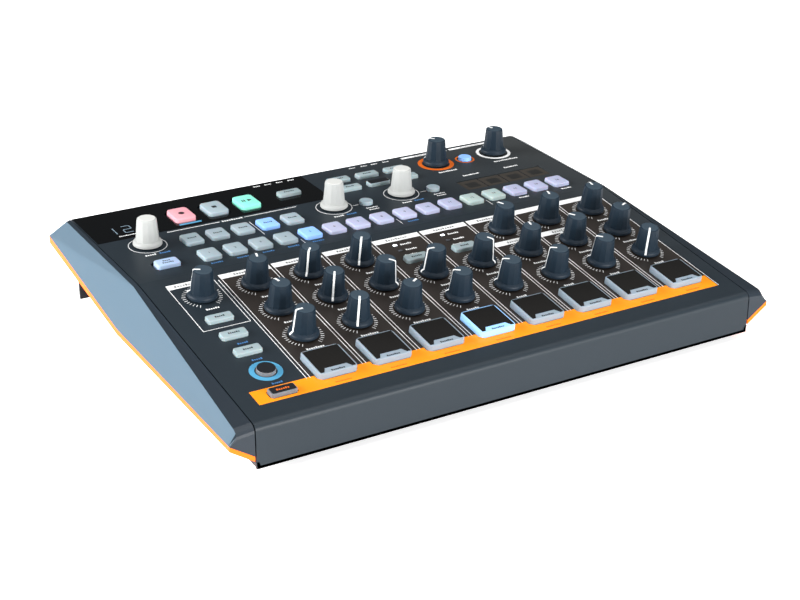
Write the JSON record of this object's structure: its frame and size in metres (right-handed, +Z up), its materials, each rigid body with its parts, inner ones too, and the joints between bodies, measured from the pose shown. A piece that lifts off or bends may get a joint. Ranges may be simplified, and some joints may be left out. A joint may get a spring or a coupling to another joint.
{
  "type": "drum machine",
  "caption": "Desktop drum machine: sloping control panel with knobs, step buttons and pads between faceted side cheeks, sockets at the back.",
  "frame": {"origin": "middle of the footprint, on the plane of the feet's lower faces", "axes": "+X to the player's right, +Y away from the player, +Z up"},
  "size_m": [0.316, 0.224, 0.0662],
  "materials": {
    "panel_paint": "fine satin powder coat, dark slate",
    "window_gloss": "glossy black acrylic",
    "cheek_paint": "satin grey-blue moulded plastic",
    "strip_orange": "orange moulded strip",
    "pan_paint": "dark powder coat",
    "foot_rubber": "matt black rubber",
    "screw_steel": "black zinc steel",
    "board_laminate": "green circuit board",
    "standoff_metal": "plain metal",
    "component_plastic": "black moulded plastic",
    "touch_black": "smooth dark touch surface",
    "display_black": "black display module",
    "knob_plastic": "soft-touch dark blue-grey plastic",
    "encoder_white": "satin white plastic",
    "record_pink": "translucent silicone, lit pink",
    "play_mint": "translucent silicone, lit mint",
    "button_white": "translucent pale silicone",
    "pad_frame": "translucent pale pad frame with a black rubber top"
  },
  "bodies": {
    "case": {"top_panel": "panel_paint", "display_window": "window_gloss", "left_cheek": "cheek_paint", "right_cheek": "cheek_paint", "side_strips": "strip_orange", "bottom_pan": "pan_paint", "rear_panel": "pan_paint", "rubber_feet": "foot_rubber", "case_screws": "screw_steel", "control_boards": "board_laminate", "board_standoffs": "standoff_metal", "rotary_bodies": "component_plastic", "switches_and_sensors": "component_plastic", "touch_strip": "touch_black", "display_and_lamps": "display_black", "rear_sockets": "component_plastic"},
    "record_button": {"record_button": "record_pink"},
    "stop_button": {"stop_button": "button_white"},
    "play_button": {"play_button": "play_mint"},
    "mode_buttons": {"mode_buttons": "button_white"},
    "step_buttons": {"step_buttons": "button_white"},
    "pad_1": {"pad_1": "pad_frame"},
    "pad_2": {"pad_2": "pad_frame"},
    "pad_3": {"pad_3": "pad_frame"},
    "pad_4": {"pad_4": "pad_frame"},
    "pad_5": {"pad_5": "pad_frame"},
    "pad_6": {"pad_6": "pad_frame"},
    "pad_7": {"pad_7": "pad_frame"},
    "pad_8": {"pad_8": "pad_frame"},
    "power_button": {"power_button": "knob_plastic"},
    "function_buttons": {"function_buttons": "button_white"},
    "round_buttons": {"round_buttons": "button_white"},
    "knob_1_top": {"knob_1_top": "knob_plastic"},
    "knob_1_middle": {"knob_1_middle": "knob_plastic"},
    "knob_1_lower": {"knob_1_lower": "knob_plastic"},
    "knob_2_top": {"knob_2_top": "knob_plastic"},
    "knob_2_middle": {"knob_2_middle": "knob_plastic"},
    "knob_2_lower": {"knob_2_lower": "knob_plastic"},
    "knob_3_top": {"knob_3_top": "knob_plastic"},
    "knob_3_middle": {"knob_3_middle": "knob_plastic"},
    "knob_3_lower": {"knob_3_lower": "knob_plastic"},
    "knob_4_middle": {"knob_4_middle": "knob_plastic"},
    "knob_4_lower": {"knob_4_lower": "knob_plastic"},
    "knob_5_middle": {"knob_5_middle": "knob_plastic"},
    "knob_5_lower": {"knob_5_lower": "knob_plastic"},
    "knob_6_top": {"knob_6_top": "knob_plastic"},
    "knob_6_middle": {"knob_6_middle": "knob_plastic"},
    "knob_6_lower": {"knob_6_lower": "knob_plastic"},
    "knob_7_top": {"knob_7_top": "knob_plastic"},
    "knob_7_middle": {"knob_7_middle": "knob_plastic"},
    "knob_7_lower": {"knob_7_lower": "knob_plastic"},
    "knob_8_top": {"knob_8_top": "knob_plastic"},
    "knob_8_middle": {"knob_8_middle": "knob_plastic"},
    "knob_8_lower": {"knob_8_lower": "knob_plastic"},
    "metronome_knob": {"metronome_knob": "knob_plastic"},
    "tempo_encoder": {"tempo_encoder": "encoder_white"},
    "swing_encoder": {"swing_encoder": "encoder_white"},
    "chance_encoder": {"chance_encoder": "encoder_white"},
    "drive_knob": {"drive_knob": "knob_plastic"},
    "volume_knob": {"volume_knob": "knob_plastic"}
  },
  "joints": [
    {"name": "record_button_press", "type": "slide", "parent": "case", "child": "record_button", "axis": [0, 0.045, -0.999], "range_m": [0, 0.001], "stiffness_N_per_m": 250, "springref_m": -0.0002},
    {"name": "stop_button_press", "type": "slide", "parent": "case", "child": "stop_button", "axis": [0, 0.045, -0.999], "range_m": [0, 0.001], "stiffness_N_per_m": 250, "springref_m": -0.0002},
    {"name": "play_button_press", "type": "slide", "parent": "case", "child": "play_button", "axis": [0, 0.045, -0.999], "range_m": [0, 0.001], "stiffness_N_per_m": 250, "springref_m": -0.0002},
    {"name": "mode_buttons_press", "type": "slide", "parent": "case", "child": "mode_buttons", "axis": [0, 0.045, -0.999], "range_m": [0, 0.001], "stiffness_N_per_m": 250, "springref_m": -0.0002},
    {"name": "step_buttons_press", "type": "slide", "parent": "case", "child": "step_buttons", "axis": [0, 0.045, -0.999], "range_m": [0, 0.001], "stiffness_N_per_m": 250, "springref_m": -0.0002},
    {"name": "pad_1_press", "type": "slide", "parent": "case", "child": "pad_1", "axis": [0, 0.1602, -0.9871], "range_m": [0, 0.0008], "stiffness_N_per_m": 600, "springref_m": -0.0002},
    {"name": "pad_2_press", "type": "slide", "parent": "case", "child": "pad_2", "axis": [0, 0.1602, -0.9871], "range_m": [0, 0.0008], "stiffness_N_per_m": 600, "springref_m": -0.0002},
    {"name": "pad_3_press", "type": "slide", "parent": "case", "child": "pad_3", "axis": [0, 0.1602, -0.9871], "range_m": [0, 0.0008], "stiffness_N_per_m": 600, "springref_m": -0.0002},
    {"name": "pad_4_press", "type": "slide", "parent": "case", "child": "pad_4", "axis": [0, 0.1602, -0.9871], "range_m": [0, 0.0008], "stiffness_N_per_m": 600, "springref_m": -0.0002},
    {"name": "pad_5_press", "type": "slide", "parent": "case", "child": "pad_5", "axis": [0, 0.1602, -0.9871], "range_m": [0, 0.0008], "stiffness_N_per_m": 600, "springref_m": -0.0002},
    {"name": "pad_6_press", "type": "slide", "parent": "case", "child": "pad_6", "axis": [0, 0.1602, -0.9871], "range_m": [0, 0.0008], "stiffness_N_per_m": 600, "springref_m": -0.0002},
    {"name": "pad_7_press", "type": "slide", "parent": "case", "child": "pad_7", "axis": [0, 0.1602, -0.9871], "range_m": [0, 0.0008], "stiffness_N_per_m": 600, "springref_m": -0.0002},
    {"name": "pad_8_press", "type": "slide", "parent": "case", "child": "pad_8", "axis": [0, 0.1602, -0.9871], "range_m": [0, 0.0008], "stiffness_N_per_m": 600, "springref_m": -0.0002},
    {"name": "power_button_press", "type": "slide", "parent": "case", "child": "power_button", "axis": [0, -1, 0], "range_m": [0, 0.002], "stiffness_N_per_m": 300, "springref_m": -0.0002},
    {"name": "function_buttons_press", "type": "slide", "parent": "case", "child": "function_buttons", "axis": [0, 0.1028, -0.9947], "range_m": [0, 0.001], "stiffness_N_per_m": 250, "springref_m": -0.0002},
    {"name": "round_buttons_press", "type": "slide", "parent": "case", "child": "round_buttons", "axis": [0, 0.1028, -0.9947], "range_m": [0, 0.001], "stiffness_N_per_m": 250, "springref_m": -0.0002},
    {"name": "knob_1_top_turn", "type": "hinge", "parent": "case", "child": "knob_1_top", "pos_m": [-0.0903, -0.0044, 0.04337], "axis": [0, -0.1602, 0.9871], "range_deg": [-135, 165]},
    {"name": "knob_1_middle_turn", "type": "hinge", "parent": "case", "child": "knob_1_middle", "pos_m": [-0.0903, -0.0296, 0.03927], "axis": [0, -0.1602, 0.9871], "range_deg": [-165, 135]},
    {"name": "knob_1_lower_turn", "type": "hinge", "parent": "case", "child": "knob_1_lower", "pos_m": [-0.0903, -0.0548, 0.03519], "axis": [0, -0.1602, 0.9871], "range_deg": [-242, 58]},
    {"name": "knob_2_top_turn", "type": "hinge", "parent": "case", "child": "knob_2_top", "pos_m": [-0.0602, -0.0044, 0.04337], "axis": [0, -0.1602, 0.9871], "range_deg": [-290, 10]},
    {"name": "knob_2_middle_turn", "type": "hinge", "parent": "case", "child": "knob_2_middle", "pos_m": [-0.0602, -0.0296, 0.03927], "axis": [0, -0.1602, 0.9871], "range_deg": [-300, 0]},
    {"name": "knob_2_lower_turn", "type": "hinge", "parent": "case", "child": "knob_2_lower", "pos_m": [-0.0602, -0.0548, 0.03519], "axis": [0, -0.1602, 0.9871], "range_deg": [-300, 0]},
    {"name": "knob_3_top_turn", "type": "hinge", "parent": "case", "child": "knob_3_top", "pos_m": [-0.0301, -0.0044, 0.04337], "axis": [0, -0.1602, 0.9871], "range_deg": [-296, 4]},
    {"name": "knob_3_middle_turn", "type": "hinge", "parent": "case", "child": "knob_3_middle", "pos_m": [-0.0301, -0.0296, 0.03927], "axis": [0, -0.1602, 0.9871], "range_deg": [-8, 292]},
    {"name": "knob_3_lower_turn", "type": "hinge", "parent": "case", "child": "knob_3_lower", "pos_m": [-0.0301, -0.0548, 0.03519], "axis": [0, -0.1602, 0.9871], "range_deg": [-92, 208]},
    {"name": "knob_4_middle_turn", "type": "hinge", "parent": "case", "child": "knob_4_middle", "pos_m": [0, -0.0296, 0.03927], "axis": [0, -0.1602, 0.9871], "range_deg": [-235, 65]},
    {"name": "knob_4_lower_turn", "type": "hinge", "parent": "case", "child": "knob_4_lower", "pos_m": [0, -0.0548, 0.03519], "axis": [0, -0.1602, 0.9871], "range_deg": [-206, 94]},
    {"name": "knob_5_middle_turn", "type": "hinge", "parent": "case", "child": "knob_5_middle", "pos_m": [0.0301, -0.0296, 0.03927], "axis": [0, -0.1602, 0.9871], "range_deg": [0, 300]},
    {"name": "knob_5_lower_turn", "type": "hinge", "parent": "case", "child": "knob_5_lower", "pos_m": [0.0301, -0.0548, 0.03519], "axis": [0, -0.1602, 0.9871], "range_deg": [-210, 90]},
    {"name": "knob_6_top_turn", "type": "hinge", "parent": "case", "child": "knob_6_top", "pos_m": [0.0602, -0.0044, 0.04337], "axis": [0, -0.1602, 0.9871], "range_deg": [-180, 120]},
    {"name": "knob_6_middle_turn", "type": "hinge", "parent": "case", "child": "knob_6_middle", "pos_m": [0.0602, -0.0296, 0.03927], "axis": [0, -0.1602, 0.9871], "range_deg": [-138, 162]},
    {"name": "knob_6_lower_turn", "type": "hinge", "parent": "case", "child": "knob_6_lower", "pos_m": [0.0602, -0.0548, 0.03519], "axis": [0, -0.1602, 0.9871], "range_deg": [-210, 90]},
    {"name": "knob_7_top_turn", "type": "hinge", "parent": "case", "child": "knob_7_top", "pos_m": [0.0903, -0.0044, 0.04337], "axis": [0, -0.1602, 0.9871], "range_deg": [-138, 162]},
    {"name": "knob_7_middle_turn", "type": "hinge", "parent": "case", "child": "knob_7_middle", "pos_m": [0.0903, -0.0296, 0.03927], "axis": [0, -0.1602, 0.9871], "range_deg": [-190, 110]},
    {"name": "knob_7_lower_turn", "type": "hinge", "parent": "case", "child": "knob_7_lower", "pos_m": [0.0903, -0.0548, 0.03519], "axis": [0, -0.1602, 0.9871], "range_deg": [-200, 100]},
    {"name": "knob_8_top_turn", "type": "hinge", "parent": "case", "child": "knob_8_top", "pos_m": [0.1204, -0.0044, 0.04337], "axis": [0, -0.1602, 0.9871], "range_deg": [-150, 150]},
    {"name": "knob_8_middle_turn", "type": "hinge", "parent": "case", "child": "knob_8_middle", "pos_m": [0.1204, -0.0296, 0.03927], "axis": [0, -0.1602, 0.9871], "range_deg": [-85, 215]},
    {"name": "knob_8_lower_turn", "type": "hinge", "parent": "case", "child": "knob_8_lower", "pos_m": [0.1204, -0.0548, 0.03519], "axis": [0, -0.1602, 0.9871], "range_deg": [-290, 10]},
    {"name": "metronome_knob_turn", "type": "hinge", "parent": "case", "child": "metronome_knob", "pos_m": [-0.1204, -0.0044, 0.04337], "axis": [0, -0.1602, 0.9871], "range_deg": [-215, 85]},
    {"name": "tempo_encoder_turn", "type": "hinge", "parent": "case", "child": "tempo_encoder", "pos_m": [-0.1218, 0.0607, 0.04895], "axis": [0, -0.045, 0.999], "continuous": true},
    {"name": "swing_encoder_turn", "type": "hinge", "parent": "case", "child": "swing_encoder", "pos_m": [-0.0096, 0.0607, 0.04895], "axis": [0, -0.045, 0.999], "continuous": true},
    {"name": "chance_encoder_turn", "type": "hinge", "parent": "case", "child": "chance_encoder", "pos_m": [0.0344, 0.0607, 0.04895], "axis": [0, -0.045, 0.999], "continuous": true},
    {"name": "drive_knob_turn", "type": "hinge", "parent": "case", "child": "drive_knob", "pos_m": [0.0774, 0.092, 0.05036], "axis": [0, -0.045, 0.999], "range_deg": [-190, 110]},
    {"name": "volume_knob_turn", "type": "hinge", "parent": "case", "child": "volume_knob", "pos_m": [0.1188, 0.092, 0.05036], "axis": [0, -0.045, 0.999], "range_deg": [-175, 125]}
  ]
}
